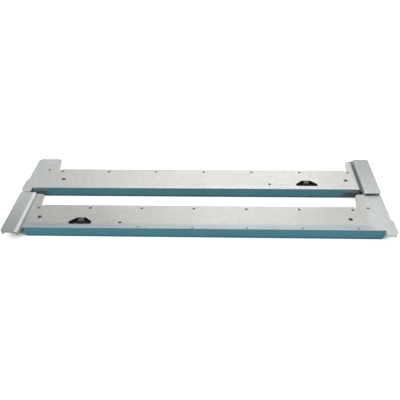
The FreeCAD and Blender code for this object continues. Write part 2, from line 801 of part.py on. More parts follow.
def make_slide_screws(label):
    """Flat-headed screws, flush inside the slide's outer member."""
    body = new_body(label)
    centres = [(x, SLIDE_LINE) for x in spacer_positions()]
    head = D["slide_gauge"] / 2 - D["screw_fit"]
    start = OUTER_UNDER + D["screw_fit"]
    pad_circles(body, "Heads", "XY_Plane", start, head, centres, D["screw_head_radius"])
    pad_circles(body, "Shanks", "XY_Plane", start, D["slide_gauge"] + D["screw_depth"] - 0.5, centres,
                D["screw_radius"])
    return body


def make_bumper(label, rear_face, top, half_width):
    """Rubber stop under a member's back, just ahead of rear_face."""
    body = new_body(label)
    left, right = across_slide(half_width)
    front = rear_face - D["bumper_depth"]
    last = pad_outline(body, "Block", "XY_Plane", top - D["bumper_height"], D["bumper_height"],
                       box_points((front, left), (rear_face, right)))
    low = top - D["bumper_height"]
    round_edges(body, "Soft", last, D["bumper_depth"] / 6,
                (front, SLIDE_LINE, low), (rear_face, SLIDE_LINE, low))
    return body


# ----------------------------------------------------------------------- latch

def latch_rivet_centres():
    away = D["rivet_offset"]
    return [
        (PIVOT_X, LATCH_LINE - away), (PIVOT_X, LATCH_LINE + away),
        (PIVOT_X - D["bracket_half_length"] + D["rivet_head_radius"] * 1.2, LATCH_LINE),
    ]


def make_latch_bracket(label):
    """Plate riveted under the web, with two cheeks that carry the pivot."""
    body = new_body(label)
    gauge = D["bracket_gauge"]
    long_half = D["bracket_half_length"]
    wide_half = D["bracket_half_width"]
    corner = wide_half / 3
    left, right = LATCH_LINE - wide_half, LATCH_LINE + wide_half
    front, rear = PIVOT_X - long_half, PIVOT_X + long_half
    pad_outline(body, "Plate", "XY_Plane", WEB_UNDER - gauge, gauge,
                [(front + corner, left), (rear - corner, left), (rear, left + corner),
                 (rear, right - corner), (rear - corner, right), (front + corner, right),
                 (front, right - corner), (front, left + corner)])
    cheek = D["cheek_half_length"]
    foot = D["pivot_level"] - D["boss_radius"] - D["arm_gauge"] / 2
    half = D["arm_width"] / 2 + D["cheek_gap"]
    outline = [(PIVOT_X - cheek, WEB_UNDER - gauge / 2), (PIVOT_X - cheek, D["pivot_level"]),
               (PIVOT_X - cheek / 2, foot), (PIVOT_X + cheek / 2, foot),
               (PIVOT_X + cheek, D["pivot_level"]), (PIVOT_X + cheek, WEB_UNDER - gauge / 2)]
    pad_outline(body, "NearCheek", "XZ_Plane", LATCH_LINE - half - gauge, gauge, outline)
    pad_outline(body, "FarCheek", "XZ_Plane", LATCH_LINE + half, gauge, outline)
    reach = D["arm_width"] + gauge * 4
    cut_circles(body, "PivotHoles", "XZ_Plane", LATCH_LINE - reach / 2, reach,
                [(PIVOT_X, D["pivot_level"])], D["pivot_radius"])
    cut_circles(body, "RivetHoles", "XY_Plane", WEB_UNDER - gauge * 2, gauge * 3,
                latch_rivet_centres(), D["rivet_radius"] + D["screw_fit"])
    cut_circles(body, "GaugeHole", "XY_Plane", WEB_UNDER - gauge * 2, gauge * 3,
                [(PIVOT_X + long_half - 2, LATCH_LINE)], D["gauge_hole_radius"])
    return body


def make_latch_pin(label):
    body = new_body(label)
    half = D["arm_width"] / 2 + D["cheek_gap"] + D["bracket_gauge"]
    pad_circles(body, "Shank", "XZ_Plane", LATCH_LINE - half, half * 2,
                [(PIVOT_X, D["pivot_level"])], D["pivot_radius"])
    return body


def make_latch_rivets(label):
    body = new_body(label)
    centres = latch_rivet_centres()
    under = WEB_UNDER - D["bracket_gauge"]
    head = D["rivet_head"]
    pad_circles(body, "Tails", "XY_Plane", under - head, head, centres, D["rivet_head_radius"])
    pad_circles(body, "Shanks", "XY_Plane", under - head / 2, WEB_TOP - under + head, centres,
                D["rivet_radius"])
    pad_circles(body, "Heads", "XY_Plane", WEB_TOP, head, centres, D["rivet_head_radius"])
    return body


def make_latch_lever(label):
    """Rocker: pressing the pad in the web's window lifts the tooth."""
    body = new_body(label)
    half = D["arm_width"] / 2
    pad_top = WEB_TOP + D["pad_rise"]
    pad_near = LATCH_LINE + D["pad_offset"]
    tooth_foot = D["slide_top"] - D["tooth_reach"]
    tooth_rear = TOOTH_X + D["tooth_length"] / 2
    tooth_front = TOOTH_X - D["tooth_length"] / 2
    pad_front = PIVOT_X - D["pad_front"]
    pad_rear = PIVOT_X - D["pad_rear"]
    slope = D["arm_gauge"] * 3
    arm_front = PIVOT_X - D["arm_front"]
    pad_outline(body, "Arm", "XZ_Plane", LATCH_LINE - half, D["arm_width"],
                box_points((arm_front, ARM_UNDER), (tooth_rear, ARM_TOP)))
    pad_circles(body, "Boss", "XZ_Plane", LATCH_LINE - half, D["arm_width"],
                [(PIVOT_X, D["pivot_level"])], D["boss_radius"])
    pad_outline(body, "Tooth", "XZ_Plane", LATCH_LINE - D["tooth_width"] / 2, D["tooth_width"],
                box_points((tooth_front, tooth_foot), (tooth_rear, D["pivot_level"])))
    crown = slope / 2
    pad_outline(body, "PadWing", "XZ_Plane", LATCH_LINE, D["pad_offset"] + D["pad_width"],
                box_points((pad_front, ARM_UNDER), (pad_rear, ARM_TOP)))
    last = pad_outline(body, "Pad", "XZ_Plane", pad_near, D["pad_width"],
                       [(pad_front, ARM_UNDER), (pad_rear, ARM_UNDER), (pad_rear, ARM_TOP),
                        (pad_rear - crown, pad_top), (pad_front + crown, pad_top),
                        (pad_front, ARM_TOP)])
    round_edges(body, "PadCrown", last, D["arm_gauge"],
                (pad_rear - crown, pad_near + half, pad_top),
                (pad_front + crown, pad_near + half, pad_top))
    cut_circles(body, "Bore", "XZ_Plane", LATCH_LINE - half - 1, D["arm_width"] + 2,
                [(PIVOT_X, D["pivot_level"])], D["pivot_radius"] + D["pivot_fit"])
    return body


def make_latch_spring(label):
    """Bowed leaf between the slide's back and the latch arm."""
    body = new_body(label)
    middle = PIVOT_X - D["leaf_station"]
    half = D["leaf_length"] / 2
    base = D["slide_top"]
    crown = ARM_UNDER - D["race_play"]
    gauge = D["leaf_gauge"]
    foot = half / 3
    top = half / 4
    pad_outline(body, "Leaf", "XZ_Plane", LATCH_LINE - D["leaf_width"] / 2, D["leaf_width"],
                [(middle - half, base), (middle - half + foot, base),
                 (middle - top, crown - gauge), (middle + top, crown - gauge),
                 (middle + half - foot, base), (middle + half, base),
                 (middle + half, base + gauge), (middle + half - foot, base + gauge),
                 (middle + top, crown), (middle - top, crown),
                 (middle - half + foot, base + gauge), (middle - half, base + gauge)])
    return body


# --------------------------------------------------------------- release lever

def make_release_lever(label):
    """Flat lever on the chassis member that frees it at full extension."""
    body = new_body(label)
    arm = D["lever_arm_width"] / 2
    pad = D["lever_pad_width"] / 2
    front = LEVER_X - D["lever_reach"]
    pad_rear = front + D["lever_pad_length"]
    tail = LEVER_X + D["lever_tail"]
    hook = D["lever_hook"]
    last = pad_outline(body, "Arm", "XY_Plane", LEVER_UNDER, D["lever_gauge"],
                       [(front, SLIDE_LINE - pad), (pad_rear, SLIDE_LINE - pad),
                        (pad_rear + hook, SLIDE_LINE - arm), (tail, SLIDE_LINE - arm),
                        (tail, SLIDE_LINE + arm + hook), (tail - hook, SLIDE_LINE + arm + hook),
                        (tail - hook * 2, SLIDE_LINE + arm), (pad_rear + hook, SLIDE_LINE + arm),
                        (pad_rear, SLIDE_LINE + pad), (front, SLIDE_LINE + pad)])
    mid = LEVER_UNDER + D["lever_gauge"] / 2
    round_edges(body, "PadCorners", last, D["lever_hook"],
                (front, SLIDE_LINE - pad, mid), (front, SLIDE_LINE + pad, mid))
    pad_circles(body, "Eye", "XY_Plane", LEVER_UNDER, D["lever_gauge"], [(LEVER_X, SLIDE_LINE)],
                D["lever_radius"])
    cut_circles(body, "Bore", "XY_Plane", LEVER_UNDER - 1, D["lever_gauge"] + 2,
                [(LEVER_X, SLIDE_LINE)], D["lever_pin_radius"] + D["lever_pin_fit"])
    return body


def make_lever_rivet(label):
    body = new_body(label)
    centre = [(LEVER_X, SLIDE_LINE)]
    under_head = LEVER_TOP + D["lever_gap"]
    pad_circles(body, "Shank", "XY_Plane", D["plate_foot"], under_head - D["plate_foot"], centre,
                D["lever_pin_radius"])
    pad_circles(body, "Head", "XY_Plane", under_head, D["lever_head"], centre, D["lever_head_radius"])
    return body


# ------------------------------------------------------------------- both rails

def make_right_rail():
    """All pieces of the right-hand rail, in the rail's own frame."""
    outer_rear = SLIDE_FRONT + D["outer_length"]
    middle_rear = SLIDE_FRONT + D["middle_length"]
    bumper_rear = middle_rear + D["stop_gap"] + D["bumper_depth"]
    return {
        "housing": make_housing("right_housing"),
        "front_rack_pins": make_rack_pins("right_front_rack_pins", FRONT_FACE, -1),
        "rear_rack_pins": make_rack_pins("right_rear_rack_pins", REAR_FACE, 1),
        "slide_outer": make_slide_outer("right_slide_outer"),
        "slide_middle": make_slide_middle("right_slide_middle"),
        "slide_inner": make_slide_inner("right_slide_inner"),
        "outer_cages": make_cages("right_outer_cages", OUTER_BALLS),
        "inner_cages": make_cages("right_inner_cages", INNER_BALLS),
        "outer_balls": make_balls("right_outer_balls", OUTER_BALLS),
        "inner_balls": make_balls("right_inner_balls", INNER_BALLS),
        "spacers": make_spacers("right_spacers"),
        "slide_screws": make_slide_screws("right_slide_screws"),
        "outer_bumper": make_bumper("right_outer_bumper", bumper_rear, OUTER_UNDER,
                                    D["bumper_half_width"]),
        "middle_bumper": make_bumper("right_middle_bumper", middle_rear, MIDDLE_UNDER,
                                     D["inner_bumper_half_width"]),
        "latch_bracket": make_latch_bracket("right_latch_bracket"),
        "latch_pin": make_latch_pin("right_latch_pin"),
        "latch_rivets": make_latch_rivets("right_latch_rivets"),
        "latch_lever": make_latch_lever("right_latch_lever"),
        "latch_spring": make_latch_spring("right_latch_spring"),
        "release_lever": make_release_lever("right_release_lever"),
        "lever_rivet": make_lever_rivet("right_lever_rivet"),
    }


def make_left_rail(right_rail):
    """The left-hand rail: every piece mirrored end for end and set beside the right."""
    left_rail = {}
    for name, piece in right_rail.items():
        twin = doc.addObject("Part::Mirroring", "left_" + name)
        twin.Label = "left_" + name
        twin.Source = piece
        twin.Base = (0, 0, 0)
        twin.Normal = (1, 0, 0)
        twin.setExpression("Placement.Base.y", PAIR_PITCH.text)
        left_rail[name] = twin
    return left_rail


def check_document():
    doc.recompute()
    for item in doc.Objects:
        if "Invalid" in item.State or "Error" in item.State:
            raise RuntimeError(f"{item.Label} failed: {item.State}")


def export_nodes(nodes):
    os.makedirs("parts", exist_ok=True)
    for node in nodes:
        shape = node.Shape
        if shape.isNull() or not shape.isValid() or not shape.Solids:
            raise RuntimeError(f"{node.Label} has no valid solid")
        shape.exportStep(f"parts/{node.Label}.step")


right_rail = make_right_rail()
for piece in right_rail.values():
    piece.setExpression("Placement.Base.y", (-PAIR_PITCH / 2).text)
left_rail = make_left_rail(right_rail)
check_document()
export_nodes(list(right_rail.values()) + list(left_rail.values()))
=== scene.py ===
import bpy
import math
from mathutils import Matrix, Vector


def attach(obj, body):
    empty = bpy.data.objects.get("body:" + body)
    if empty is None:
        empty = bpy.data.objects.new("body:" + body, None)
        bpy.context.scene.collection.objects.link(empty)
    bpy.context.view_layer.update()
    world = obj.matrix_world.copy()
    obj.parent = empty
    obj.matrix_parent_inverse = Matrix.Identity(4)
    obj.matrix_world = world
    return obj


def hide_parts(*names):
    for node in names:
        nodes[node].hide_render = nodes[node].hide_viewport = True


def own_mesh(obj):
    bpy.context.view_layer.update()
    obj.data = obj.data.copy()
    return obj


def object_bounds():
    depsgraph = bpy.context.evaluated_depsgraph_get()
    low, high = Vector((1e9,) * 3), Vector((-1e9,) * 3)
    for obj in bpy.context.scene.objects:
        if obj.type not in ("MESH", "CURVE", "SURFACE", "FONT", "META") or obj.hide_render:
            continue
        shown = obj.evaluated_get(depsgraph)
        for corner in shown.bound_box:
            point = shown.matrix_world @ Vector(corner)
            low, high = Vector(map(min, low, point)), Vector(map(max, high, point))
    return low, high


# Pair of telescoping server rack rails on a pale floor.
# All lengths are in metres. X runs along the rails, Y across the pair and Z out of the webs.
# The right rail lies in front, at Y below 0. The left one is its mirror image, behind it.

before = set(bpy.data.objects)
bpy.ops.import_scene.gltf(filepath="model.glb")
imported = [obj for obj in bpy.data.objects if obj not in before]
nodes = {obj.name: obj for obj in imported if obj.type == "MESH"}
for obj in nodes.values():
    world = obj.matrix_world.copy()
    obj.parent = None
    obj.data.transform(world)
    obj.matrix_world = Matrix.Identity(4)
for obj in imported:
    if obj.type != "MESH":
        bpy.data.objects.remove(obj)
cad_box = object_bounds()

RAILS = ("right", "left")

# Holes of a web, measured from the middle of its own rail, front end at low X.
HALF_PITCH = 0.06775               # from the pair's middle line to a rail's own
HOLE_STEP = 0.1063
HOLE_FIRST_X = -0.3265
HOLE_ROW_Y = 0.01525
EDGE_HOLE_Y = -0.04465
EDGE_ROW_FROM = -0.17              # no edge holes ahead of this
ROW_RING = 0.0031                  # radius of the painted shade round each kind of hole
EDGE_RING = 0.0022
SINGLE_HOLES = (                   # place along, place across, radius of the painted shade
    (-0.3165, -0.01525, 0.0044),   # front access hole
    (0.3015, -0.01525, 0.0044),    # rear access hole
    (-0.1515, -0.03075, 0.0034),   # gauge hole of the latch bracket
    (0.3430, 0.0210, 0.0032),      # ear hole
)
RING_BLUR = 0.0004

# Ranges over which the housings' paint changes, along the rails from the pair's middle.
# Painted sheen over the left rail's web, growing towards its ends.
SHEEN_FADE = (0.05, 0.30)
EAR_FADE = (0.325, 0.35)
WALL_END = (0.3622, 0.3612)
NEAR_EAR = (0.318, 0.345)
PAST_EAR = (0.295, 0.318)
RISER_RISE = (0.3452, 0.3460)
RISER_FALL = (0.3528, 0.3500)
RIGHT_FOOT = (0.3415, 0.3452)      # start and stop of the painted shade at a riser's foot
LEFT_FOOT = (0.3388, 0.3458)
FOOT_RISE = 0.0012
FOOT_FALL = 0.0010

# The same across the pair.
RAIL_SPLIT = (0.001, 0.002)
# Where the painted reflection lies along the webs' near edges.
RIGHT_RIM = (-0.096, -0.1075)
LEFT_RIM = (0.031, 0.024)
LOW_X_EARS = (-0.130, -0.010)
HIGH_X_EARS = (0.130, -0.060)
FOOT_DEEPENS = (0.135, 0.100)
ENDS_SPLIT = (-0.1, 0.1)           # along X: from the ears at low X to those at high X

# The same in height.
WEB_SKIN = (0.0190, 0.0195)
HOLE_WALL_TOP = (0.0198, 0.0204)
# Heights over which the painted shade near the ears turns from grey to near black.
WALL_SHADE_HEIGHTS = (0.0165, 0.0115)
WALL_FOOT = (0.0065, 0.0015)


# ---------------------------------------------------------------- node trees

class Tree:
    """Short calls for building one material's node tree."""

    def __init__(self, name):
        self.material = bpy.data.materials.new(name)
        self.material.use_nodes = True
        self.nodes = self.material.node_tree.nodes
        self.links = self.material.node_tree.links
        self.nodes.clear()
        self.output = self.nodes.new("ShaderNodeOutputMaterial")

    def add(self, kind, **settings):
        node = self.nodes.new(kind)
        for name, value in settings.items():
            setattr(node, name, value)
        return node

    def feed(self, socket, value):
        """Link a socket, or set the input to a plain value."""
        if isinstance(value, bpy.types.NodeSocket):
            self.links.new(value, socket)
        else:
            socket.default_value = value

    def math(self, operation, first, second=0.0, clamp=False):
        node = self.add("ShaderNodeMath", operation=operation, use_clamp=clamp)
        self.feed(node.inputs[0], first)
        self.feed(node.inputs[1], second)
        return node.outputs[0]

    def times(self, first, second):
        return self.math("MULTIPLY", first, second)

    def less(self, first, second):
        return self.math("SUBTRACT", first, second)

    def rest(self, share):
        """What is left of 1."""
        return self.less(1.0, share)

    def either(self, first, second):
        return self.math("MAXIMUM", first, second)

    def size(self, value):
        return self.math("ABSOLUTE", value)

    def remap(self, value, low, high, to_low=0.0, to_high=1.0):
        """Smooth step of value from low..high to to_low..to_high."""
        node = self.add("ShaderNodeMapRange", interpolation_type="SMOOTHSTEP")
        for socket, given in zip(node.inputs, (value, low, high, to_low, to_high)):
            self.feed(socket, given)
        return node.outputs["Result"]

    def mix(self, share, first, second, blend="MIX"):
        node = self.add("ShaderNodeMix", data_type="RGBA", blend_type=blend)
        self.feed(node.inputs["Factor"], share)
        self.feed(node.inputs[6], first)
        self.feed(node.inputs[7], second)
        return node.outputs[2]

    def position(self, scale=(1.0, 1.0, 1.0)):
        place = self.add("ShaderNodeTexCoord").outputs["Object"]
        stretch = self.add("ShaderNodeMapping")
        self.feed(stretch.inputs["Vector"], place)
        self.feed(stretch.inputs["Scale"], scale)
        return stretch.outputs["Vector"]

    def axes(self, vector):
        node = self.add("ShaderNodeSeparateXYZ")
        self.feed(node.inputs[0], vector)
        return node.outputs

    def normal(self):
        return self.axes(self.add("ShaderNodeNewGeometry").outputs["Normal"])

    def noise(self, size, detail=3.0, stretch=(1.0, 1.0, 1.0)):
        """Noise with features about `size` metres across."""
        node = self.add("ShaderNodeTexNoise")
        self.feed(node.inputs["Vector"], self.position(stretch))
        self.feed(node.inputs["Scale"], 1.0 / size)
        self.feed(node.inputs["Detail"], detail)
        return node.outputs[0]

    def edges(self, width):
        """1 near the piece's corners, 0 on its flats."""
        bevel = self.add("ShaderNodeBevel", samples=4)
        self.feed(bevel.inputs["Radius"], width)
        flat = self.add("ShaderNodeNewGeometry").outputs["Normal"]
        dot = self.add("ShaderNodeVectorMath", operation="DOT_PRODUCT")
        self.feed(dot.inputs[0], bevel.outputs[0])
        self.feed(dot.inputs[1], flat)
        return self.remap(dot.outputs["Value"], 0.995, 0.85, 0.0, 1.0)

    def hollows(self, reach):
        """1 deep in a corner that other surfaces shade, 0 in the open."""
        shade = self.add("ShaderNodeAmbientOcclusion", samples=8)
        self.feed(shade.inputs["Distance"], reach)
        return self.remap(shade.outputs["AO"], 0.80, 0.45, 0.0, 1.0)

    def bump(self, height, depth, strength=1.0):
        node = self.add("ShaderNodeBump")
        self.feed(node.inputs["Strength"], strength)
        self.feed(node.inputs["Distance"], depth)
        self.feed(node.inputs["Height"], height)
        return node.outputs[0]

    def finish(self, **sockets):
        """Principled surface; names are its sockets, with _ for a space."""
        shader = self.add("ShaderNodeBsdfPrincipled")
        for name, value in sockets.items():
            self.feed(shader.inputs[name.replace("_", " ")], value)
        self.links.new(shader.outputs[0], self.output.inputs["Surface"])
        return self.material


def rgb(red, green, blue):
    return (red, green, blue, 1.0)


WEB_DULL, WEB_CLEAN = rgb(0.47, 0.47, 0.445), rgb(0.58, 0.575, 0.55)
# Painted sheen over the left rail's web.
WEB_SHEEN = rgb(0.68, 0.68, 0.65)
LOW_X_EAR_DARKER, LOW_X_EAR_PALER = rgb(0.40, 0.44, 0.42), rgb(0.64, 0.68, 0.66)
HIGH_X_EAR_DARKER, HIGH_X_EAR_PALER = rgb(0.39, 0.425, 0.41), rgb(0.61, 0.64, 0.625)
# Painted reflection along the webs' near edges.
RIGHT_RIM_REFLECTION, LEFT_RIM_REFLECTION = rgb(0.33, 0.43, 0.46), rgb(0.60, 0.70, 0.72)
# Teal of the side walls: a passivation tint with painted shade and a painted blue reflection; the
# grey one is the painted shade of the left rail's walls.
TEAL_DEEP, TEAL_LIGHT = rgb(0.025, 0.175, 0.235), rgb(0.042, 0.235, 0.305)
TEAL_SHADE = rgb(0.042, 0.155, 0.185)
# Painted shade on the walls: grey and near black by the left rail's ears, near black along the
# walls' feet.
WALL_DEEP_SHADE, WALL_HALF_SHADE = rgb(0.020, 0.022, 0.022), rgb(0.18, 0.195, 0.19)
WALL_FOOT_SHADE = rgb(0.022, 0.026, 0.026)
# Painted highlight on a riser, and painted shade along its foot.
RISER_HIGHLIGHT, RISER_FOOT_SHADE = rgb(0.84, 0.86, 0.85), rgb(0.07, 0.075, 0.07)
# Painted shade in the web's holes and round them.
HOLE_WALL_SHADE, HOLE_RING_SHADE = rgb(0.05, 0.055, 0.055), rgb(0.08, 0.085, 0.085)
# Painted highlight on the bends.
BEND_HIGHLIGHT = rgb(0.62, 0.76, 0.78)
GRAIN_DARK, BLOTCH_DARK = rgb(0.30, 0.30, 0.29), rgb(0.36, 0.36, 0.35)
SPARK_LIGHT, WEAR_LIGHT = rgb(0.74, 0.75, 0.73), rgb(0.72, 0.74, 0.73)
# Painted shade in hollows.
HOLLOW_SHADE = rgb(0.10, 0.105, 0.10)


class Spot:
    """Where a point of a housing lies, as sockets that the paint can ask for."""

    def __init__(self, tree):
        self.tree = tree
        place = tree.axes(tree.position())
        face = tree.normal()
        self.x, self.y, self.z = place["X"], place["Y"], place["Z"]
        self.along = tree.size(self.x)
        self.upward = tree.size(face["Z"])
        self.sideways = tree.size(face["Y"])
        self.on_left = tree.remap(self.y, *RAIL_SPLIT)
        self.on_right = tree.rest(self.on_left)
        self.at_front = tree.math("GREATER_THAN", tree.times(self.x, self.y), 0.0)

    def by_rail(self, right, left):
        """One value on the right rail, another on the left."""
        return self.tree.remap(self.on_left, 0.0, 1.0, right, left)


def ear_tone(tree, spot):
    """Zinc of the ears, darker towards the pair's outer sides and paler towards the middle of the
    row.
    """
    at_low_x = tree.mix(tree.remap(spot.y, *LOW_X_EARS), LOW_X_EAR_DARKER, LOW_X_EAR_PALER)
    at_high_x = tree.mix(tree.remap(spot.y, *HIGH_X_EARS), HIGH_X_EAR_DARKER, HIGH_X_EAR_PALER)
    return tree.mix(tree.remap(spot.x, *ENDS_SPLIT), at_low_x, at_high_x)


def web_tone(tree, spot, cloud):
    """Zinc of the webs: a painted blue reflection along their near edges, a painted sheen over the
    left rail's web, and changing to the ears' tone.
    """
    ear = tree.remap(spot.along, *EAR_FADE)
    # Painted sheen over the left rail's web, strongest towards its ends.
    pale = tree.times(tree.remap(spot.along, *SHEEN_FADE, 0.35, 1.0), spot.on_left)
    colour = tree.mix(cloud, WEB_DULL, WEB_CLEAN)
    colour = tree.mix(tree.times(pale, 0.75), colour, WEB_SHEEN)
    colour = tree.mix(tree.times(ear, 0.85), colour, ear_tone(tree, spot))
    # Painted reflection along the webs' near edges, kept off the ears.
    left_rim = tree.times(tree.remap(spot.y, *LEFT_RIM), spot.on_left)
    rim = tree.either(tree.remap(spot.y, *RIGHT_RIM), left_rim)
    rim = tree.times(rim, tree.rest(ear))
    rim_reflection = tree.mix(spot.on_left, RIGHT_RIM_REFLECTION, LEFT_RIM_REFLECTION)
    return tree.mix(tree.times(rim, 0.7), colour, rim_reflection)


def wall_tone(tree, spot, cloud):
    """Teal of the side walls: a passivation tint with painted shade and a painted blue reflection,
    greyer on the left rail as painted shade.
    """
    teal = tree.mix(cloud, TEAL_DEEP, TEAL_LIGHT)
    return tree.mix(tree.times(spot.on_left, 0.5), teal, TEAL_SHADE)


def wall_painted_shade(tree, spot, colour, wall_share):
    """Painted shade along the walls' feet, and over the left rail's walls where they near an ear,
    grey higher up and near black low down.
    """
    near_ear = tree.remap(spot.along, *NEAR_EAR, 0.0, 0.80)
    past_ear = tree.remap(spot.x, *PAST_EAR)
    end = tree.times(tree.times(tree.either(near_ear, past_ear), spot.on_left), wall_share)
    end_shade = tree.mix(tree.remap(spot.z, *WALL_SHADE_HEIGHTS), WALL_HALF_SHADE, WALL_DEEP_SHADE)
    colour = tree.mix(tree.times(end, 0.85), colour, end_shade)
    # Painted shade along the walls' feet, deeper on the left rail.
    foot = tree.remap(spot.z, *WALL_FOOT, 0.0, spot.by_rail(0.45, 0.70))
    return tree.mix(tree.times(foot, wall_share), colour, WALL_FOOT_SHADE)


def riser_light_and_shade(tree, spot, colour):
    """The step up to a front ear: a painted highlight on the right rail's riser, and painted shade
    along its foot.
    """
    riser = tree.times(tree.remap(spot.along, *RISER_RISE), tree.remap(spot.along, *RISER_FALL))
    riser = tree.times(tree.times(riser, spot.on_right), 0.9)
    start = spot.by_rail(RIGHT_FOOT[0], LEFT_FOOT[0])
    stop = spot.by_rail(RIGHT_FOOT[1], LEFT_FOOT[1])
    foot = tree.times(tree.remap(spot.along, start, tree.math("ADD", start, FOOT_RISE)),
                      tree.remap(spot.along, stop, tree.less(stop, FOOT_FALL)))
    left_depth = tree.remap(spot.y, *FOOT_DEEPENS, 0.55, 1.0)
    foot = tree.times(foot, spot.by_rail(0.42, left_depth))
    colour = tree.mix(tree.times(riser, spot.at_front), colour, RISER_HIGHLIGHT)
    return tree.mix(tree.times(foot, spot.at_front), colour, RISER_FOOT_SHADE)


def ring(tree, across, beside, radius):
    """1 within the radius of a hole's centre, 0 beyond it."""
    square = tree.math("ADD", tree.times(across, across), tree.times(beside, beside))
    return tree.remap(tree.math("SQRT", square), radius + RING_BLUR, radius - RING_BLUR)


def hole_rings(tree, spot):
    """1 in the painted shade round a web's holes, 0 elsewhere."""
    own_x = tree.times(spot.x, spot.by_rail(1.0, -1.0))
    own_y = tree.math("ADD", spot.y, spot.by_rail(HALF_PITCH, -HALF_PITCH))
    step = tree.less(own_x, HOLE_FIRST_X - HOLE_STEP / 2)
    step = tree.less(tree.math("FLOORED_MODULO", step, HOLE_STEP), HOLE_STEP / 2)
    row = ring(tree, step, tree.less(own_y, HOLE_ROW_Y), ROW_RING)
    edge = ring(tree, step, tree.less(own_y, EDGE_HOLE_Y), EDGE_RING)
    has_edge_row = tree.times(tree.math("GREATER_THAN", own_x, EDGE_ROW_FROM), spot.on_right)
    rings = tree.either(row, tree.times(edge, has_edge_row))
    for centre_x, centre_y, radius in SINGLE_HOLES:
        one = ring(tree, tree.less(own_x, centre_x), tree.less(own_y, centre_y), radius)
        rings = tree.either(rings, one)
    return rings


def hole_shade(tree, spot, colour):
    """Painted shade on the walls of the web's holes, and in rings round them."""
    inside = tree.times(tree.remap(spot.z, *HOLE_WALL_TOP), tree.remap(spot.upward, 0.35, 0.25))
    colour = tree.mix(inside, colour, HOLE_WALL_SHADE)
    rings = tree.times(hole_rings(tree, spot), tree.remap(spot.z, *WEB_SKIN))
    return tree.mix(tree.times(rings, 0.92), colour, HOLE_RING_SHADE)


def zinc_wear_and_painted_light(tree, spot, colour, grain):
    """Painted highlights on the bends, drawn grain, spangle, blotches, rubbed corners, and painted
    shade in hollows.
    """
    speckle = tree.noise(0.0022, 3.0)
    mottle = tree.noise(0.008, 4.0)
    # Painted highlight on the bends.
    bend = tree.times(tree.remap(spot.sideways, 0.10, 0.30), tree.remap(spot.sideways, 0.85, 0.60))
    colour = tree.mix(tree.times(bend, 0.75), colour, BEND_HIGHLIGHT)
    colour = tree.mix(tree.remap(grain, 0.35, 0.65, 0.0, 0.10), colour, GRAIN_DARK)
    sparks = tree.times(tree.remap(speckle, 0.62, 0.75, 0.0, 0.22), spot.upward)
    colour = tree.mix(sparks, colour, SPARK_LIGHT)
    blotch = tree.times(tree.remap(mottle, 0.40, 0.62, 0.0, 0.16), spot.upward)
    colour = tree.mix(blotch, colour, BLOTCH_DARK)
    wear = tree.times(tree.edges(0.0007), tree.remap(speckle, 0.35, 0.6))
    colour = tree.mix(tree.times(wear, 0.35), colour, WEAR_LIGHT)
    # Painted shade in hollows, from ambient occlusion.
    return tree.mix(tree.times(tree.hollows(0.006), 0.75), colour, HOLLOW_SHADE)


def zinc_sheet(name):
    """Zinc-plated sheet: grained webs, teal walls with painted shade and blue reflection, worn
    corners, and painted highlights and shade.
    """
    tree = Tree(name)
    spot = Spot(tree)
    cloud = tree.noise(0.07, 4.0)
    grain = tree.noise(0.0006, 2.0, (0.03, 1.0, 1.0))
    # The sideways faces take the teal, with its painted shade and reflection.
    wall_share = tree.times(tree.remap(spot.sideways, 0.65, 0.92),
                            tree.remap(spot.along, *WALL_END))
    colour = tree.mix(wall_share, web_tone(tree, spot, cloud), wall_tone(tree, spot, cloud))
    colour = wall_painted_shade(tree, spot, colour, wall_share)
    colour = riser_light_and_shade(tree, spot, colour)
    colour = hole_shade(tree, spot, colour)
    colour = zinc_wear_and_painted_light(tree, spot, colour, grain)
    return tree.finish(Base_Color=colour,
                       Metallic=tree.remap(wall_share, 0.0, 1.0, 0.60, 0.25),
                       Roughness=tree.remap(tree.noise(0.02, 3.0), 0.3, 0.7, 0.46, 0.52),
                       Normal=tree.bump(grain, 0.00004, 0.5))


EVEN = (1.0, 1.0, 1.0)
DRAWN_ALONG_X = (0.04, 1.0, 1.0)
CORNER_LIGHT = rgb(0.75, 0.75, 0.74)


def bare_steel(name, dark, light, roughness, metallic=0.85, grain_size=0.0005,
               stretch=DRAWN_ALONG_X):
    """Cold-rolled or turned steel with a drawn grain and brighter corners."""
    tree = Tree(name)
    grain = tree.noise(grain_size, 3.0, stretch)
    cloud = tree.noise(0.03, 3.0)
    colour = tree.mix(cloud, dark, light)
    colour = tree.mix(tree.remap(grain, 0.3, 0.7, 0.0, 0.35), colour, dark)
    colour = tree.mix(tree.times(tree.edges(0.0003), 0.5), colour, CORNER_LIGHT)
    rough = tree.remap(cloud, 0.3, 0.7, roughness - 0.07, roughness + 0.07)
    return tree.finish(Base_Color=colour, Metallic=metallic, Roughness=rough,
                       Normal=tree.bump(grain, 0.00003, 0.5))


def moulded(name, dark, light, roughness, grain_size):
    """Plastic or rubber with a fine moulded texture."""
    tree = Tree(name)
    grain = tree.noise(grain_size, 4.0)
    colour = tree.mix(tree.remap(grain, 0.3, 0.7), dark, light)
    colour = tree.mix(tree.times(tree.edges(0.0004), 0.3), colour, light)
    rough = tree.remap(grain, 0.3, 0.7, roughness - 0.08, roughness + 0.08)
    return tree.finish(Base_Color=colour, Roughness=rough,
                       Normal=tree.bump(grain, 0.00005, 0.6))


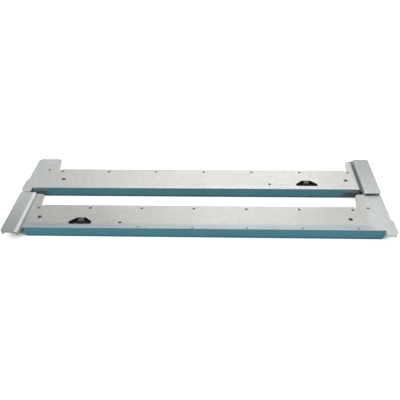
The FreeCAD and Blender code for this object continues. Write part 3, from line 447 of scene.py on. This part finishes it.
FINISHES = {
    "housing": zinc_sheet("housing_zinc"),
    "slide_steel": bare_steel("slide_steel", rgb(0.36, 0.38, 0.40), rgb(0.52, 0.54, 0.56), 0.34),
    "cage_steel": bare_steel("cage_steel", rgb(0.40, 0.38, 0.33), rgb(0.55, 0.53, 0.47), 0.42),
    "ball_steel": bare_steel("ball_steel", rgb(0.62, 0.62, 0.63), rgb(0.78, 0.78, 0.79), 0.15,
                             metallic=1.0, grain_size=0.001, stretch=EVEN),
    "bright_steel": bare_steel("bright_steel", rgb(0.42, 0.44, 0.44), rgb(0.60, 0.62, 0.61), 0.35,
                               metallic=0.8, stretch=(1.0, 1.0, 0.1)),
    "dark_screws": bare_steel("dark_screws", rgb(0.03, 0.03, 0.035), rgb(0.08, 0.08, 0.085), 0.45,
                              metallic=0.6, grain_size=0.0008, stretch=EVEN),
    "latch_steel": bare_steel("latch_steel", rgb(0.05, 0.048, 0.042), rgb(0.17, 0.165, 0.15), 0.58,
                              metallic=0.5, grain_size=0.0008, stretch=(0.2, 1.0, 1.0)),
    "spring_steel": bare_steel("spring_steel", rgb(0.10, 0.12, 0.17), rgb(0.20, 0.22, 0.27), 0.32),
    "lever_plastic": moulded("lever_plastic", rgb(0.03, 0.12, 0.33), rgb(0.05, 0.18, 0.45),
                             0.48, 0.0006),
    "bumper_rubber": moulded("bumper_rubber", rgb(0.018, 0.018, 0.018), rgb(0.05, 0.05, 0.05),
                             0.75, 0.0005),
}

NODE_FINISHES = {
    "housing": "housing", "front_rack_pins": "bright_steel", "rear_rack_pins": "bright_steel",
    "slide_outer": "slide_steel", "slide_middle": "slide_steel", "slide_inner": "slide_steel",
    "outer_cages": "cage_steel", "inner_cages": "cage_steel", "outer_balls": "ball_steel",
    "inner_balls": "ball_steel", "spacers": "bright_steel", "slide_screws": "dark_screws",
    "outer_bumper": "bumper_rubber", "middle_bumper": "bumper_rubber",
    "latch_bracket": "bright_steel", "latch_pin": "bright_steel", "latch_rivets": "bright_steel",
    "latch_lever": "latch_steel", "latch_spring": "spring_steel",
    "release_lever": "lever_plastic", "lever_rivet": "bright_steel",
}


def dress(piece, finish):
    material = FINISHES[finish]
    if not piece.material_slots:
        piece.data.materials.append(material)
    for holder in piece.material_slots:
        holder.material = material


for rail in RAILS:
    for node, finish in NODE_FINISHES.items():
        dress(nodes[f"{rail}_{node}"], finish)


# ---------------------------------------------------------------- latch leaves


def make_leaf(rail):
    """The bowed leaf under a latch arm: a copy of the latch spring, hung on the root body, with
    the spring itself hidden.
    """
    name = f"{rail}_latch_spring"
    leaf = bpy.data.objects.new(f"{rail}_latch_leaf", nodes[name].data.copy())
    bpy.context.scene.collection.objects.link(leaf)
    dress(leaf, "spring_steel")
    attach(leaf, "root")
    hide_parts(name)
    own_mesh(leaf)


for rail in RAILS:
    make_leaf(rail)


# ---------------------------------------------------------------------- stage

# Painted shadow on the floor, from ambient occlusion.
FLOOR_SHADOW = rgb(0.13, 0.14, 0.14)
FLOOR_LOW, FLOOR_HIGH = rgb(0.80, 0.80, 0.80), rgb(0.82, 0.82, 0.82)
FLOOR_GLOW = 0.65
OPEN_FLOOR = (0.12, 0.48)          # how open to the sky the floor turns from painted shadow to pale
COVERED_FLOOR = (0.58, 0.86)       # the same behind the left rail's near wall
COVER_STARTS = (0.0195, 0.024)
COVER_ENDS = (0.070, 0.055)


def floor_material():
    """Pale floor that shows plain white to the lens and keeps the shadow, with a painted shadow
    from ambient occlusion darkening its colour and glow, deeper behind the left rail's near wall.
    """
    tree = Tree("floor_pale")
    paper = tree.noise(0.004, 4.0)
    shade = tree.add("ShaderNodeAmbientOcclusion", samples=16)
    tree.feed(shade.inputs["Distance"], 0.05)
    away = tree.axes(tree.position())["Y"]
    covered = tree.times(tree.remap(away, *COVER_STARTS), tree.remap(away, *COVER_ENDS))
    dark = tree.remap(covered, 0.0, 1.0, OPEN_FLOOR[0], COVERED_FLOOR[0])
    pale = tree.remap(covered, 0.0, 1.0, OPEN_FLOOR[1], COVERED_FLOOR[1])
    lit = tree.remap(shade.outputs["AO"], dark, pale)
    colour = tree.mix(tree.remap(paper, 0.3, 0.7), FLOOR_LOW, FLOOR_HIGH)
    colour = tree.mix(lit, FLOOR_SHADOW, colour)
    diffuse = tree.add("ShaderNodeBsdfDiffuse")
    tree.feed(diffuse.inputs["Color"], colour)
    glow = tree.add("ShaderNodeEmission")
    rays = tree.add("ShaderNodeLightPath")
    seen = tree.either(rays.outputs["Is Camera Ray"], rays.outputs["Is Glossy Ray"])
    seen = tree.either(seen, rays.outputs["Is Transmission Ray"])
    tree.feed(glow.inputs["Strength"], tree.times(seen, tree.times(lit, FLOOR_GLOW)))
    both = tree.add("ShaderNodeAddShader")
    tree.links.new(diffuse.outputs[0], both.inputs[0])
    tree.links.new(glow.outputs[0], both.inputs[1])
    tree.links.new(both.outputs[0], tree.output.inputs["Surface"])
    return tree.material


def make_floor(reach):
    mesh = bpy.data.meshes.new("floor")
    corners = [(-reach, -reach, 0.0), (reach, -reach, 0.0),
               (reach, reach, 0.0), (-reach, reach, 0.0)]
    mesh.from_pydata(corners, [], [(0, 1, 2, 3)])
    mesh.materials.append(floor_material())
    floor = bpy.data.objects.new("floor", mesh)
    floor.location.z = cad_box[0][2]
    bpy.context.scene.collection.objects.link(floor)


def area_light(name, power, size, place):
    """A white rectangular lamp of so many watts, turned to the middle of the pair."""
    lamp = bpy.data.lights.new(name, "AREA")
    lamp.energy = power
    lamp.shape = "RECTANGLE"
    lamp.size, lamp.size_y = size
    holder = bpy.data.objects.new(name, lamp)
    holder.location = place
    holder.rotation_euler = (-Vector(place)).to_track_quat("-Z", "Y").to_euler()
    bpy.context.scene.collection.objects.link(holder)


def make_world(strength):
    """White to the lens, and a plain soft light on the object."""
    world = bpy.data.worlds.new("studio")
    bpy.context.scene.world = world
    world.use_nodes = True
    tree = world.node_tree
    background = tree.nodes["Background"]
    background.inputs["Color"].default_value = rgb(1.0, 1.0, 1.0)
    rays = tree.nodes.new("ShaderNodeLightPath")
    seen = tree.nodes.new("ShaderNodeMapRange")
    seen.inputs["To Min"].default_value = strength
    seen.inputs["To Max"].default_value = 1.0
    tree.links.new(rays.outputs["Is Camera Ray"], seen.inputs["Value"])
    tree.links.new(seen.outputs[0], background.inputs["Strength"])


make_floor(6.0)
make_world(0.56)
area_light("key_right", 11.0, (1.8, 1.2), (0.5, 0.7, 1.6))
area_light("back_softbox", 4.0, (1.0, 0.5), (0.0, 1.3, 0.78))
area_light("fill_front", 5.0, (1.6, 1.0), (-0.4, -1.6, 0.9))


# --------------------------------------------------------------------- camera

FOCAL = 47.1                       # millimetres, on a 36 mm frame
CAMERA_PLACE = Vector((0.0511, -0.8969, 0.6647))
PITCH_DOWN = math.radians(36.27)
YAW_LEFT = math.radians(3.10)
ROLL = math.radians(-1.42)


def make_camera():
    lens = bpy.data.cameras.new("camera")
    lens.lens = FOCAL
    lens.sensor_width = 36.0
    lens.clip_start = 0.01
    camera = bpy.data.objects.new("camera", lens)
    turn = (Matrix.Rotation(YAW_LEFT, 4, "Z")
            @ Matrix.Rotation(math.pi / 2 - PITCH_DOWN, 4, "X")
            @ Matrix.Rotation(ROLL, 4, "Z"))
    camera.matrix_world = Matrix.Translation(CAMERA_PLACE) @ turn
    bpy.context.scene.collection.objects.link(camera)
    bpy.context.scene.camera = camera


make_camera()
bpy.context.scene.view_settings.view_transform = "Standard"

bpy.context.view_layer.update()
